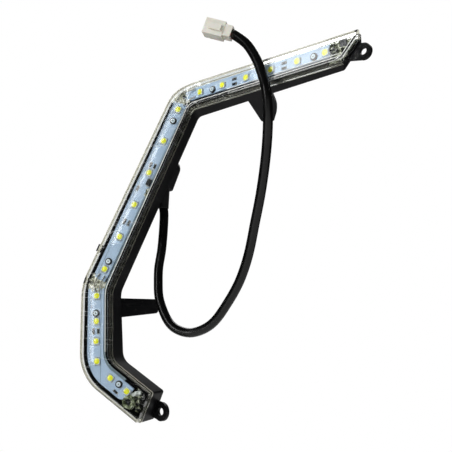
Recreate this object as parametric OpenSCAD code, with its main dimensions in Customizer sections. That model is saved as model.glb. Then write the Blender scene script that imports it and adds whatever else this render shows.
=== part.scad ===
// Front running lamp: a bent strip with a clear cover, three board strips of diodes and a rear tray
// X runs to the right of the fitted lamp, Z up, and the light leaves towards -Y
// The origin is the centre of the screw hole in the lower ear, on the ear's front face

/* [Lamp line] */
// Length of the top arm seen from the front, from the upper bend to its end
arm_len = 112; // [100:0.5:125]
// Height of the slanting middle, from the upper bend down to the lower one
mid_h = 124; // [118:1:135]
// Sideways lean of the slanting middle
mid_lean = 57; // [50:0.5:64]
// Height of the upright stretch below the lower bend
upright_len = 50.5; // [48:0.5:58]
// Sideways drift of the upright stretch
upright_drift = 1; // [0:0.5:3]
// Length of the foot, from the knee to its end
foot_len = 41.5; // [40:0.5:48]
// Fall of the foot below level, in degrees
foot_fall = 36; // [30:1:42]
// Forward sweep of the top arm, in degrees
sweep = 28; // [20:1:34]
// Distance from the ear's front face forward to the front of the cover
front_set = 22; // [20:0.5:26]

/* [Strip width] */
// Half the tray's width at the end of the arm
half_arm = 7.5; // [7.3:0.1:8.5]
// Half the tray's width at the upper bend
half_upper = 8.2; // [7.9:0.1:9]
// Half the tray's width at the lower bend
half_lower = 9.6; // [9.2:0.1:10.6]
// Half the tray's width from the knee to the foot end
half_foot = 10; // [9.6:0.1:11]
// Radius of the line at the upper bend
bend_upper_r = 13; // [11:0.5:16]
// Radius of the line at the lower bend
bend_lower_r = 26; // [20:1:32]
// Radius of the line at the knee
knee_r = 20; // [16:1:24]
// How much further the arm's upper edge runs than its lower edge
arm_slant = 12.5; // [4:0.5:14]
// How much further the foot's outer edge runs than its inner edge
foot_slant = 5; // [0:0.5:8]
// Corner radius at the two ends of the strip
end_r = 1.5; // [1:0.25:3]
// Radius of the arm's pointed upper corner
tip_r = 2.25; // [1.5:0.25:4.5]

/* [Cover] */
// Thickness of the cover's front wall
lens_t = 1.6; // [1.2:0.1:2.4]
// Thickness of the cover's side walls
lens_wall = 1.4; // [1:0.1:1.6]
// Width of the flange round the cover
flange_w = 0.8; // [0.4:0.1:1]
// Thickness of the flange
flange_t = 1.5; // [1:0.1:2.5]
// Depth of the cover, from its front to the rim of the tray
lens_depth = 8.5; // [8:0.1:10]
// Chamfer along the front edge of the cover
lens_chamfer = 0.6; // [0.2:0.1:0.9]
// Radius of the cover's screw posts
post_r = 2.4; // [2:0.1:2.6]
// Radius of the post at the foot's end
post_foot_r = 3.3; // [2.4:0.1:3.6]

/* [Tray] */
// Wall thickness of the tray
tray_wall = 1.8; // [1.4:0.1:2.2]
// Floor thickness of the tray
tray_floor = 2; // [1.6:0.1:2.6]
// Depth of the whole lamp along the middle, from the cover's front
tray_back = 22.7; // [21.5:0.1:26]
// Depth of the whole lamp at the end of the arm
tray_back_arm = 16.5; // [15.5:0.1:19]
// Extra depth that the tray gains at the bottom of the foot
tray_back_foot = 7.5; // [4:0.5:9]
// Width of the sealing groove in the rim
groove_w = 1; // [0.7:0.1:1]
// Depth of the sealing groove
groove_d = 1.6; // [1.2:0.1:2]
// Thickness of the sealing bead at the bottom of the groove
bead_t = 0.6; // [0.4:0.1:0.9]

/* [Boards and diodes] */
// Depth of the boards' front face behind the cover's front
board_set = 5; // [4.5:0.1:5.5]
// Thickness of the boards
board_t = 1.6; // [1:0.1:2]
// Width of the board in the arm
board_w_arm = 7.2; // [7:0.1:8]
// Width of the board in the slanting middle
board_w_mid = 9.3; // [9:0.1:9.5]
// Width of the bent board in the upright and the foot
board_w_foot = 10.8; // [10:0.1:11.2]
// Side of a diode's square body
led_side = 4.2; // [3.5:0.1:4.6]
// Height of a diode's square body
led_h = 0.9; // [0.6:0.1:1.2]
// Diameter of a diode's round light face
led_spot = 3.7; // [3:0.1:4]
// How far the light face stands above the body
led_crown = 0.25; // [0.1:0.05:0.4]
// Distance from the arm's last diode to the arm's end, seen from the front
led_end_arm = 16; // [15.4:0.1:19]
// Distance from the middle's last diode to the lower bend
led_end_mid = 13; // [12.8:0.1:16]
// Distance from the upright stretch's last diode to the knee
led_end_upright = 4.1; // [3:0.1:7]

/* [Ears and tabs] */
// Radius of the upper ear
upper_ear_r = 4.7; // [4.4:0.1:6]
// Radius of the lower ear
lower_ear_r = 5.9; // [5.4:0.1:7]
// Thickness of the ears
ear_t = 2.2; // [2:0.1:3]
// Bore of the upper ear
bore_upper = 4.2; // [3.4:0.1:5.4]
// Bore of the lower ear
bore_lower = 5; // [4:0.1:6]
// Length of the level tab behind the arm
arm_tab_len = 48; // [40:1:52]
// Width of the level tab at its root
arm_tab_w = 17; // [14:0.5:18]
// Width of the level tab near its tip
arm_tab_tip = 8.5; // [7:0.5:11]
// Length of the standing tab behind the upright stretch
side_tab_len = 31; // [24:1:34]
// Height of the standing tab at its root
side_tab_h = 13.5; // [11:0.5:16]
// Thickness of both tabs
tab_t = 3; // [2.4:0.1:4]

/* [Cord] */
// Diameter of the cord
cord_d = 6; // [5:0.5:7]
// Outer radius of the cord's outlet on the tray
outlet_r = 6.2; // [5.8:0.1:6.8]
// Radius of the boot's flange
boot_r = 4.4; // [4:0.1:4.6]
// Length of the boot below the outlet
boot_len = 13; // [10:0.5:14]
// Length of the connector's body
plug_len = 18; // [16:0.5:24]
// Height of the connector's body
plug_h = 10; // [9.5:0.5:13]
// Thickness of the connector's body
plug_t = 8; // [7.5:0.5:10]

/* [Hidden] */
LED_COUNT = 18;
LED_NAMES = [for (i = [1:LED_COUNT]) str("led_", i)];

eps = 0.01;
arc_step = 7.5;
reach = 400;

// Bend points of the lamp line as [x, z], from the arm end down to the foot end
foot_end = [-4, 3.1];
knee = foot_end + foot_len * [-cos(foot_fall), sin(foot_fall)];
lower_bend = knee + [-upright_drift, upright_len];
upper_bend = lower_bend + [mid_lean, mid_h];
arm_end = upper_bend + [arm_len, 0];
line_pts = [arm_end, upper_bend, lower_bend, knee, foot_end];
half_w = [half_arm, half_upper, half_lower, half_foot, half_foot];

front_y = -front_set;
rim_y = lens_depth;
fold_x = upper_bend[0] + 4;
fold_r = 12;
fold_t = fold_r * tan(sweep / 2);

function unit(v) = v / norm(v);
function turn(v, a) = [v[0] * cos(a) - v[1] * sin(a), v[0] * sin(a) + v[1] * cos(a)];
function wrap(i, n) = (i + n) % n;
// Direction of stretch i of the lamp line, and its normal on the outer side of the bend
function dir(i) = unit(line_pts[i + 1] - line_pts[i]);
function side(i) = [dir(i)[1], -dir(i)[0]];
// Point at a distance down stretch i from its start, set off to the outer side
function on_line(i, along, off = 0) = line_pts[i] + dir(i) * along + side(i) * off;
// Where the line from p along u meets the line from q along v
function meet(p, u, q, v) =
    p + u * ((q[0] - p[0]) * v[1] - (q[1] - p[1]) * v[0]) / (u[0] * v[1] - u[1] * v[0]);

// Edge of stretch i on side k (1 outer, -1 inner): its two end points, tapered with the width
function edge_start(i, k) = line_pts[i] + side(i) * k * half_w[i];
function edge_end(i, k) = line_pts[i + 1] + side(i) * k * half_w[i + 1];
function edge_dir(i, k) = unit(edge_end(i, k) - edge_start(i, k));
function edge_bend(j, k) = meet(edge_start(j - 1, k), edge_dir(j - 1, k), edge_start(j, k), edge_dir(j, k));
function edge_pts(k) = [
    edge_start(0, k) - edge_dir(0, k) * k * arm_slant / 2,
    edge_bend(1, k), edge_bend(2, k), edge_bend(3, k),
    edge_end(3, k) + edge_dir(3, k) * k * foot_slant / 2];
function backwards(v) = [for (i = [len(v) - 1:-1:0]) v[i]];

// Outline of the strip from the front, as corner points with a radius for each
outline = concat(edge_pts(1), backwards(edge_pts(-1)));
outline_r = [
    tip_r, bend_upper_r + half_upper, bend_lower_r + half_lower, knee_r + half_foot, end_r,
    end_r, knee_r - half_foot, bend_lower_r - half_lower, bend_upper_r - half_upper, end_r];

// Each edge moved inwards by d, with the corners where the moved edges meet
function shrink(p, d) = [for (i = [0:len(p) - 1])
    let (n = len(p), a = unit(p[i] - p[wrap(i - 1, n)]), b = unit(p[wrap(i + 1, n)] - p[i]),
         na = [-a[1], a[0]], nb = [-b[1], b[0]])
    p[i] + (na + nb) * d / (1 + na * nb)];
// Arc of radius r that rounds the corner q between p and s
function arc_at(p, q, s, r) =
    let (u = unit(p - q), v = unit(s - q), cosine = u * v, bend = 180 - acos(cosine),
         t = r * tan(bend / 2), c = q + unit(u + v) * r / cos(bend / 2),
         from = q + u * t - c, way = u[0] * v[1] - u[1] * v[0] > 0 ? -1 : 1,
         n = max(2, ceil(bend / arc_step)))
    [for (k = [0:n]) c + turn(from, way * bend * k / n)];
function rounded(p, r) = [for (i = [0:len(p) - 1])
    each arc_at(p[wrap(i - 1, len(p))], p[i], p[wrap(i + 1, len(p))], max(r[i], 0.2))];
function strip_outline(d) =
    rounded(shrink(outline, d), [for (i = [0:9]) outline_r[i] - d * (i == 6 || i == 7 || i == 8 ? -1 : 1)]);

// Plan of the front face: flat, then swept forward past the fold
function sweep_y(x) = x > fold_x ? -tan(sweep) * (x - fold_x) : 0;
function fold_path() = concat(
    [[-reach, 0]],
    arc_at([-reach, 0], [fold_x, 0], [fold_x + reach, sweep_y(fold_x + reach)], fold_r),
    [[fold_x + reach, sweep_y(fold_x + reach)]]);
function set_back(path, d) = [for (p = path) p + [0, d]];
arm_x = arm_end[0];
function back_path(d) = let (
    far = [arm_x, sweep_y(arm_x) + tray_back_arm - d],
    near = [fold_x, tray_back - d])
    [near - (far - near), near, far + (far - near)];
// Depth of the tray's back at a height z, where the foot gains depth
foot_deep_z = lower_bend[1];
function back_at(z) = tray_back + tray_back_foot * max(0, foot_deep_z - z) / (foot_deep_z - foot_end[1]);

// Prism that stands on the front view's outline, through the whole depth
module from_front(points) {
    rotate([90, 0, 0])
        linear_extrude(height = reach, center = true)
            polygon(points);
}
// Layer between two plan lines, through the whole height
module from_top(near, far) {
    translate([0, front_y, -reach / 4])
        linear_extrude(height = reach)
            polygon(concat(near, backwards(far)));
}
module layer(y0, y1) from_top(set_back(fold_path(), y0), set_back(fold_path(), y1));
// Everything in front of the middle's back and the foot's sloping back, less a skin of d
module ahead_of_back(d) {
    top = upper_bend[1] + reach / 8;
    low = foot_end[1] - reach / 8;
    translate([-reach / 2, front_y, 0])
        rotate([90, 0, 90])
            linear_extrude(height = reach)
                polygon([[-reach / 4, top], [tray_back - d, top], [tray_back - d, foot_deep_z],
                         [back_at(low) - d, low], [-reach / 4, low]]);
}
module strip(inset, y0, y1) {
    intersection() {
        from_front(strip_outline(inset));
        layer(y0, y1);
    }
}
module strip_ring(outer, inner, y0, y1) {
    difference() {
        strip(outer, y0, y1);
        strip(inner, y0 - 1, y1 + 1);
    }
}
// Body of the tray between a front layer and its own back, less a skin of d
module tray_block(inset, y0, d) {
    intersection() {
        from_front(strip_outline(inset));
        from_top(set_back(fold_path(), y0), back_path(d));
        ahead_of_back(d);
    }
}

// Cosine of the sweep where p lies on the arm, so that a depth there can be measured square to the front
function square_to(p) = p[0] > fold_x ? cos(sweep) : 1;
// Places a child over a place on the boards' front, moved square to it to a depth behind the cover's front
module at_depth(p, depth) {
    translate([p[0], front_y + sweep_y(p[0]) + board_set, p[1]])
        rotate([0, 0, p[0] > fold_x ? -sweep : 0])
            translate([0, (depth - board_set) * square_to(p), 0])
                children();
}
// Cylinder along the light's direction, from its front end back
module pin(r, len, faces = 32) {
    rotate([-90, 0, 0])
        cylinder(r = r, h = len, $fn = faces);
}
// Depth that clears every back face of the tray
through = 60;

mid_len = norm(lower_bend - upper_bend);
bend_out = unit(side(0) + side(1));

// Diode k's distance from the start of its stretch; the last one keeps its distance to the stretch's end
first_arm = 12.5;
first_mid = 9.2;
first_upright = 5.2;
second_upright = 21.4;
first_foot = 0.286 * foot_len;
pitch_foot = 0.328 * foot_len;
pitch_arm = (arm_len - led_end_arm - first_arm) / 5;
pitch_mid = (mid_len - led_end_mid - first_mid) / 5;
pitch_upright = (upright_len - led_end_upright - second_upright) / 2;
function arm_led(k) = first_arm + k * pitch_arm;
function mid_led(k) = first_mid + k * pitch_mid;

// Screw places, as [x, z]; a head beside a diode keeps screw_gap from its centre
screw_gap = 5.1;
row_screw = 0.4;
row_screw_foot = -1.4;
board_screw_pts = [
    [upper_bend[0] + arm_led(0.56), upper_bend[1]],
    [upper_bend[0] + arm_led(4.6), upper_bend[1] + row_screw],
    on_line(1, mid_led(0.36)), on_line(1, mid_led(5) - screw_gap - row_screw),
    on_line(2, second_upright - screw_gap), on_line(3, first_foot + pitch_foot / 2, row_screw_foot)];
post_arm = [arm_x - 10.3, arm_end[1] + row_screw];
post_upper = upper_bend - bend_out;
post_lower = on_line(1, mid_len - 1.5, 5.6);
post_foot = on_line(3, 0.765 * foot_len, 4.2);
lens_screw_pts = [post_arm, post_upper, post_lower, post_foot];
screw_r = 1.25;
head_r = 2.3;
head_h = 1.3;
pilot_r = 1.3;
pad_r = 2.7;
well_r = head_r + 0.3;
post_end = rim_y;
web = 3.5;

// Depth of the arm's back behind its own swept front, which shrinks towards the arm's end
function arm_back_at(x) = tray_back + (tray_back_arm - tray_back) * (x - fold_x) / (arm_x - fold_x);

// Pillar inside the tray, from a front depth back into the floor
module pillar(p, r, depth) {
    intersection() {
        at_depth(p, depth)
            pin(r, through);
        tray_block(tray_wall / 2, 0, tray_floor / 2);
    }
}

// Ears: the upper one hangs on the arm's end wall and the lower one on the foot's end wall
upper_ear = [arm_x + 4.4, arm_end[1] - 2.6];
upper_ear_depth = 9.5;
upper_ear_at = [upper_ear[0], front_y + sweep_y(upper_ear[0]) + upper_ear_depth, upper_ear[1]];
// Round plate in the sweep's plane, with a neck that widens to its root in the tray's end wall
module ear_plate(r, neck, root_top, root_low) {
    rotate([0, 0, -sweep])
        rotate([90, 0, 0])
            translate([0, 0, -ear_t])
                linear_extrude(height = ear_t)
                    union() {
                        circle(r = r, $fn = 64);
                        polygon([[0, r], [-neck, root_top], [-neck, root_low], [0, -r]]);
                    }
}
module ear_rib(r, neck) {
    rotate([0, 0, -sweep])
        translate([-neck, ear_t - eps, -tray_wall / 2])
            cube([neck - r + 1, ear_t, tray_wall]);
}
upper_neck = 11;
lower_neck = 9.5;

// Level tab behind the arm, cut to a taper with a round tip
arm_tab_x = upper_bend[0] + 51.5;
arm_tab_z = arm_end[1] - half_arm;
arm_tab_root = front_y + sweep_y(arm_tab_x) + arm_back_at(arm_tab_x);
tab_bury = arm_tab_w * tan(sweep) / 2;
arm_tab_taper = 2.2;
arm_tab_side_r = 60;
arm_tab_end_r = 2.5;
module arm_tab() {
    half = arm_tab_w / 2;
    far = arm_tab_tip - half + arm_tab_taper;
    translate([arm_tab_x, arm_tab_root, arm_tab_z])
        union() {
            linear_extrude(height = tab_t)
                polygon(rounded(
                    [[-half, -tab_bury / 2], [half, -2 * tab_bury], [half, arm_tab_len * 0.46],
                     [far, arm_tab_len], [arm_tab_taper - half, arm_tab_len]],
                    [0.2, 0.2, arm_tab_side_r, arm_tab_end_r, arm_tab_end_r]));
            translate([-tab_t / 4, 0, tab_t - eps])
                rotate([90, 0, 90])
                    linear_extrude(height = tab_t / 2)
                        polygon([[-tray_floor, 0], [arm_tab_len * 0.7, 0], [-tray_floor, 7]]);
        }
}
// Standing tab behind the upright stretch, leaning out to the inner side
side_tab_z = knee[1] + 38.5;
side_tab_root = [on_line(2, 12)[0] + 3, front_y + back_at(side_tab_z) - tray_floor / 2];
side_tab_turn = 33;
module side_tab() {
    translate([side_tab_root[0], side_tab_root[1], side_tab_z])
        rotate([0, 0, side_tab_turn])
            rotate([90, 0, 0])
                translate([0, 0, -tab_t])
                    linear_extrude(height = tab_t)
                        polygon([[0, -side_tab_h / 2], [side_tab_len, -side_tab_h / 2 + 4],
                                 [side_tab_len + 1, -side_tab_h / 2 + 5], [side_tab_len + 1, side_tab_h / 2 - 1],
                                 [side_tab_len, side_tab_h / 2], [0, side_tab_h / 2]]);
}

// Cord outlet on the back of the middle, with a socket for the boot that opens downwards
outlet_on_line = on_line(1, 0.342 * mid_len, 1);
outlet = [outlet_on_line[0], front_y + tray_back + 5.3, outlet_on_line[1]];
outlet_h = 14;
outlet_low = outlet[2] - outlet_h;
boot_seat = 6;
hood_reach = 5.5;
module outlet_body() {
    hull() {
        translate([outlet[0], outlet[1], outlet_low])
            cylinder(r = outlet_r, h = boot_seat, $fn = 48);
        translate([outlet[0] + hood_reach, outlet[1] - 1.5, outlet[2]])
            sphere(r = outlet_r, $fn = 40);
        for (p = [[outlet[0], outlet_low + outlet_r], [outlet[0] + hood_reach - 2, outlet[2] + 2]])
            translate([p[0], front_y + tray_back - tray_floor / 2, p[1]])
                pin(outlet_r, 1, 40);
    }
}
module outlet_bore() {
    translate([outlet[0], outlet[1], outlet_low - eps])
        cylinder(r = boot_r, h = boot_seat + eps, $fn = 64);
    translate([outlet[0], outlet[1], outlet_low])
        cylinder(r = cord_d / 2, h = outlet_h - 2, $fn = 48);
    translate([outlet[0], front_y + tray_back - tray_floor - 1, outlet[2] - 4])
        pin(cord_d / 2 - 0.4, outlet[1] - front_y - tray_back + tray_floor + 1);
}

// Breather tube on the back of the upright stretch
breather_at = [on_line(2, 34)[0], on_line(2, 34)[1]];
breather_tube_r = 2.4;
breather_tube_len = 4;
breather_back = front_y + back_at(breather_at[1]);

// Small lug on the outer wall of the middle
lug = [4, 5, 3];
lug_above_bend = 23.6;
module wall_lug() {
    from = mid_len - lug_above_bend;
    h = half_upper + (half_lower - half_upper) * from / mid_len;
    a = on_line(1, from - lug[1] / 2, h - tray_wall / 2);
    b = on_line(1, from + lug[1] / 2, h - tray_wall / 2);
    n = side(1) * (lug[0] + tray_wall / 2);
    intersection() {
        from_front([a, b, b + n, a + n]);
        layer(rim_y + 0.6, rim_y + 0.6 + lug[2]);
    }
}

// Two rails under the boards, cut through by the pillars; each entry keeps its distance to its stretch's ends
rail_t = 1.2;
rail_off = 2.6;
rail_ends = [[17, 33], [24, 24], [21, 16]];
board_back = board_set + board_t;
module rail_sheet(i, from, to, off) {
    a = on_line(i, from, off);
    b = on_line(i, to, off);
    n = side(i) * rail_t / 2;
    from_front([a + n, b + n, b - n, a - n]);
}
module rails(i, len) {
    for (k = [-1, 1])
        intersection() {
            rail_sheet(i, rail_ends[i][0], len - rail_ends[i][1], k * rail_off);
            tray_block(tray_wall / 2, board_back, tray_floor / 2);
        }
}

module rear_housing() {
    color([0.05, 0.05, 0.06])
        difference() {
            union() {
                difference() {
                    union() {
                        tray_block(0, rim_y, 0);
                        ear_plate(lower_ear_r, lower_neck, lower_ear_r + 2, -lower_ear_r / 2);
                        ear_rib(lower_ear_r, lower_neck);
                        translate(upper_ear_at)
                            ear_plate(upper_ear_r, upper_neck, upper_ear_r + 3, 2.3 - upper_ear_r);
                        translate(upper_ear_at)
                            ear_rib(upper_ear_r, upper_neck);
                        arm_tab();
                        side_tab();
                        outlet_body();
                        wall_lug();
                        translate([breather_at[0], breather_back - tray_floor / 2, breather_at[1]])
                            pin(breather_tube_r, breather_tube_len + tray_floor / 2);
                    }
                    tray_block(tray_wall, rim_y - 1, tray_floor);
                }
                for (p = board_screw_pts)
                    pillar(p, pad_r, board_back);
                for (p = lens_screw_pts)
                    pillar(p, well_r + 1.2, post_end);
                rails(0, arm_len);
                rails(1, mid_len);
                rails(2, upright_len);
            }
            strip_ring((tray_wall - groove_w) / 2, (tray_wall + groove_w) / 2, rim_y - eps, rim_y + groove_d);
            rotate([0, 0, -sweep])
                translate([0, -1, 0])
                    pin(bore_lower / 2, ear_t + 2, 64);
            translate(upper_ear_at)
                rotate([0, 0, -sweep])
                    translate([0, -1, 0])
                        pin(bore_upper / 2, ear_t + 2, 64);
            for (p = board_screw_pts)
                at_depth(p, board_back - eps)
                    pin(pilot_r, 7);
            for (p = lens_screw_pts) {
                at_depth(p, post_end - eps)
                    pin(pilot_r, through);
                at_depth(p, post_end + web)
                    pin(well_r, through);
            }
            outlet_bore();
            translate([breather_at[0], breather_back - tray_floor - 1, breather_at[1]])
                pin(breather_tube_r / 2, breather_tube_len + tray_floor + 2);
        }
}

// Clear cover: a front wall, side walls down to a flange, and hollow posts for the screws
module front_lens() {
    color([0.85, 0.9, 0.92, 0.35])
        difference() {
            union() {
                difference() {
                    union() {
                        strip(flange_w + lens_chamfer, 0, lens_t);
                        strip(flange_w, lens_chamfer, rim_y);
                        strip(0, rim_y - flange_t, rim_y);
                        strip_ring(tongue_in, tongue_in + tongue_w, rim_y - eps, rim_y + groove_d - bead_t);
                    }
                    strip(flange_w + lens_wall, lens_t, rim_y + groove_d);
                }
                for (p = lens_screw_pts)
                    at_depth(p, lens_t - eps)
                        pin(p == post_foot ? post_foot_r : post_r, (post_end - lens_t) * square_to(p));
            }
            for (p = lens_screw_pts)
                at_depth(p, lens_t + 1)
                    pin(pilot_r, through);
        }
}

// Sealing bead at the bottom of the rim's groove, under the cover's tongue
bead_gap = 0.05;
tongue_in = (tray_wall - groove_w) / 2 + 0.12;
tongue_w = groove_w - 0.24;
module sealing_bead() {
    color([0.12, 0.12, 0.13])
        strip_ring((tray_wall - groove_w) / 2 + bead_gap, (tray_wall + groove_w) / 2 - bead_gap,
                   rim_y + groove_d - bead_t, rim_y + groove_d);
}

// Boards, drilled for their screws
row_arm = 0.8;
row_mid = 0.1;
row_upright = -0.4;
arm_board_from = fold_x + fold_t + 0.3;
arm_board_to = arm_x - 13.5;
board_row_arm = 1.3;
board_row_mid = 0.8;
board_row_foot = 0.4;
mid_board_from = 4.5;
mid_board_to = mid_len - 8;
foot_board_from = 0.4;
foot_board_to = first_foot + pitch_foot + 2.6;
foot_corner_r = 5.4;
board_corner_r = 0.5;
screw_hole_r = 1.5;
module board(points) {
    color([0.82, 0.87, 0.93])
        difference() {
            intersection() {
                from_front(points);
                layer(board_set, board_set + board_t);
            }
            for (p = board_screw_pts)
                at_depth(p, 0)
                    pin(screw_hole_r, board_set + 4);
        }
}
module board_upper() {
    z = upper_bend[1] + board_row_arm;
    w = board_w_arm / 2;
    board([[arm_board_from, z - w], [arm_board_to, z - w], [arm_board_to, z + w], [arm_board_from, z + w]]);
}
module board_middle() {
    w = board_w_mid / 2;
    row = board_row_mid;
    board([on_line(1, mid_board_from, row + w), on_line(1, mid_board_to, row + w),
           on_line(1, mid_board_to, row - w), on_line(1, mid_board_from, row - w)]);
}
function knee_corner(off) = meet(on_line(2, 0, off), dir(2), on_line(3, 0, off), dir(3));
module board_lower() {
    out = board_row_foot + board_w_foot / 2;
    in = board_row_foot - board_w_foot / 2;
    board(rounded(
        [on_line(2, foot_board_from, out), knee_corner(out), on_line(3, foot_board_to, out),
         on_line(3, foot_board_to, in), knee_corner(in), on_line(2, foot_board_from, in)],
        [board_corner_r, knee_r + out, foot_corner_r, board_corner_r, knee_r + in, board_corner_r]));
}

// Diodes: a square body with one cut corner and a round light face; each entry is [place, stretch]
row_foot = -1.1;
led_places = concat(
    [for (k = [0:5]) [[upper_bend[0] + arm_led(k), upper_bend[1] + row_arm], 0]],
    [for (k = [0:5]) [on_line(1, mid_led(k), row_mid), 1]],
    [[on_line(2, first_upright, row_upright), 2]],
    [for (k = [0:2]) [on_line(2, second_upright + k * pitch_upright, k == 2 ? row_foot : row_upright), 2]],
    [for (k = [0:1]) [on_line(3, first_foot + k * pitch_foot, row_foot), 3]]);
function lean(i) = atan2(-dir(i)[1], dir(i)[0]);
module on_board(p, stretch, height) {
    at_depth(p, board_set - height / square_to(p))
        rotate([0, lean(stretch), 0])
            children();
}
module led(i) {
    color([0.96, 0.95, 0.80])
        on_board(led_places[i - 1][0], led_places[i - 1][1], led_h)
            union() {
                rotate([-90, 0, 0])
                    linear_extrude(height = led_h)
                        polygon([[-led_side / 2, -led_side / 2], [led_side / 2, -led_side / 2],
                                 [led_side / 2, led_side / 2 - 0.7], [led_side / 2 - 0.7, led_side / 2],
                                 [-led_side / 2, led_side / 2]]);
                translate([0, -led_crown, 0])
                    pin(led_spot / 2, led_crown + eps, 48);
            }
}

// Small square parts on the boards
chip = [2.8, 0.6, 1.4];
module chips(places) {
    color([0.15, 0.15, 0.16])
        for (q = places)
            on_board(q[0], q[1], chip[1])
                translate([-chip[0] / 2, 0, -chip[2] / 2])
                    cube(chip);
}
chip_off = 1.6;
function chip_pair(p, stretch) = [for (k = [-1, 1]) [p + side(stretch) * k * chip_off, stretch]];
module resistors_upper() {
    chips(concat(
        chip_pair([upper_bend[0] + arm_led(1.5), upper_bend[1] + row_arm], 0),
        chip_pair([upper_bend[0] + arm_led(3.5), upper_bend[1] + row_arm], 0)));
}
module resistors_middle() {
    chips(concat(
        chip_pair(on_line(1, mid_led(1.78)), 1),
        [[on_line(1, mid_led(2.53), 3), 1]],
        chip_pair(on_line(1, mid_led(3.55)), 1)));
}
module resistors_lower() {
    chips(concat(
        chip_pair(on_line(2, second_upright + pitch_upright / 2), 2),
        [[on_line(3, first_foot + pitch_foot / 2 + 1, 3.6), 3]]));
}
diode_size = [4.2, 1.4, 2.6];
diode_place = on_line(1, mid_led(2.26), -2.55);
module blocking_diode() {
    color([0.1, 0.1, 0.11])
        on_board(diode_place, 1, diode_size[1])
            translate([-diode_size[0] / 2, 0, -diode_size[2] / 2])
                cube(diode_size);
}

// Screws with a domed head and a cross recess
recess = [0.7, 0.8, 2.4];
module screw(length) {
    difference() {
        union() {
            translate([0, -head_h, 0])
                rotate([-90, 0, 0])
                    cylinder(r1 = head_r - 0.6, r2 = head_r, h = head_h / 2, $fn = 48);
            translate([0, -head_h / 2, 0])
                pin(head_r, head_h / 2, 48);
            translate([0, -eps, 0])
                pin(screw_r, length + eps);
        }
        for (k = [0, 90])
            translate([0, -head_h, 0])
                rotate([0, k, 0])
                    translate([-recess[2] / 2, -1, -recess[0] / 2])
                        cube([recess[2], recess[1] + 1, recess[0]]);
    }
}
board_screw_len = 7;
lens_screw_len = web + 4;
module board_screws() {
    color([0.7, 0.7, 0.72])
        for (p = board_screw_pts)
            at_depth(p, board_set)
                screw(board_screw_len);
}
module lens_screws() {
    color([0.35, 0.35, 0.37])
        for (p = lens_screw_pts)
            at_depth(p, post_end + web)
                rotate([180, 0, 0])
                    screw(lens_screw_len);
}

// Closed tube through points, each ring square to the way there; ends square to given directions
function path_dir(p, k, from, to) =
    k == 0 ? unit(from) : k == len(p) - 1 ? unit(to) : unit(unit(p[k] - p[k - 1]) + unit(p[k + 1] - p[k]));
module tube(p, r, sides, across, from, to) {
    n = len(p);
    points = [for (k = [0:n - 1])
        let (d = path_dir(p, k, from, to), a = unit(cross(d, across)), b = cross(d, a))
        for (j = [0:sides - 1]) p[k] + r * (cos(360 * j / sides) * a + sin(360 * j / sides) * b)];
    walls = [for (k = [0:n - 2]) for (j = [0:sides - 1])
        let (s = k * sides, t = (j + 1) % sides)
        each [[s + j, s + sides + j, s + sides + t], [s + j, s + sides + t, s + t]]];
    caps = [[for (j = [0:sides - 1]) j], [for (j = [sides - 1:-1:0]) (n - 1) * sides + j]];
    polyhedron(points = points, faces = concat(walls, caps));
}

// Bare links that carry the current from board to board across the bends
link_r = 0.45;
link_off = 3;
link_arm_off = 2.4;
link_wide = 2;
link_round = [-4.4, 2.7];
link_bow = 0.9;
link_lift = link_r + 0.05;
function in_space(p, depth) = [p[0], front_y + sweep_y(p[0]) + depth, p[1]];
module link(a, b, corner) {
    start = in_space(a, board_set - link_lift / square_to(a));
    stop = in_space(b, board_set - link_lift);
    top = in_space(corner, board_set - link_lift - link_bow);
    tube([start, start * 0.6 + top * 0.4 - [0, 0.3, 0], top, stop * 0.6 + top * 0.4 - [0, 0.3, 0], stop],
         link_r, 8, [0, 1, 0], top - start, stop - top);
}
module link_wires_upper() {
    color([0.72, 0.6, 0.35])
        for (k = [-1, 1])
            link([arm_board_from + 1.2, upper_bend[1] + board_row_arm + k * link_arm_off],
                 on_line(1, mid_board_from + 1.2, board_row_mid + k * link_off),
                 upper_bend + bend_out * link_round[(k + 1) / 2]);
}
module link_wires_lower() {
    color([0.72, 0.6, 0.35])
        for (k = [-1, 1])
            link(on_line(1, mid_board_to - 1.2, k * link_wide), on_line(2, foot_board_from + 1.2, k * link_wide),
                 lower_bend + unit(side(1) + side(2)) * k * link_wide - dir(1) * 2.5);
}

// Supply leads inside the tray, from the middle board back to the cord's outlet
lead_r = 0.45;
lead_gap = 0.7;
lead_off = 1.2;
module supply_lead(k) {
    pad = on_line(1, 0.484 * mid_len, -k * lead_off);
    x = outlet[0] + k * lead_gap;
    back = front_y + tray_back;
    hole_z = outlet[2] - 4;
    tube([[pad[0], front_y + board_back, pad[1]], [pad[0], front_y + board_back + 3, pad[1]],
          [pad[0] * 0.6 + x * 0.4, front_y + board_back + 7, pad[1] * 0.6 + hole_z * 0.4],
          [x, back - 5, hole_z], [x, back - 1, hole_z], [x, back + 2, hole_z],
          [x, outlet[1] - 0.8, hole_z - 0.8], [x, outlet[1], hole_z - 2.4], [x, outlet[1], outlet_low + boot_seat]],
         lead_r, 8, [1, 0, 0], [0, 1, 0], [0, 0, -1]);
}
module supply_wire_plus() {
    color([0.7, 0.1, 0.08])
        supply_lead(1);
}
module supply_wire_minus() {
    color([0.1, 0.1, 0.1])
        supply_lead(-1);
}

// Rubber boot: a flange in the outlet's socket, then a tapered sleeve down to a rounded lip on the cord
boot_foot_r = cord_d / 2 + 0.5;
boot_lip = 0.5;
module cord_boot() {
    color([0.07, 0.07, 0.08])
        translate([outlet[0], outlet[1], outlet_low - boot_len])
            rotate_extrude($fn = 64)
                polygon([[0, 0], [boot_foot_r - boot_lip / 2, 0], [boot_foot_r, boot_lip / 2],
                         [boot_foot_r, 3 * boot_lip], [boot_r - boot_lip, boot_len - 2],
                         [boot_r - boot_lip, boot_len - 0.2], [boot_r - bead_gap, boot_len],
                         [boot_r - bead_gap, boot_len + boot_seat], [0, boot_len + boot_seat]]);
}

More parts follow.
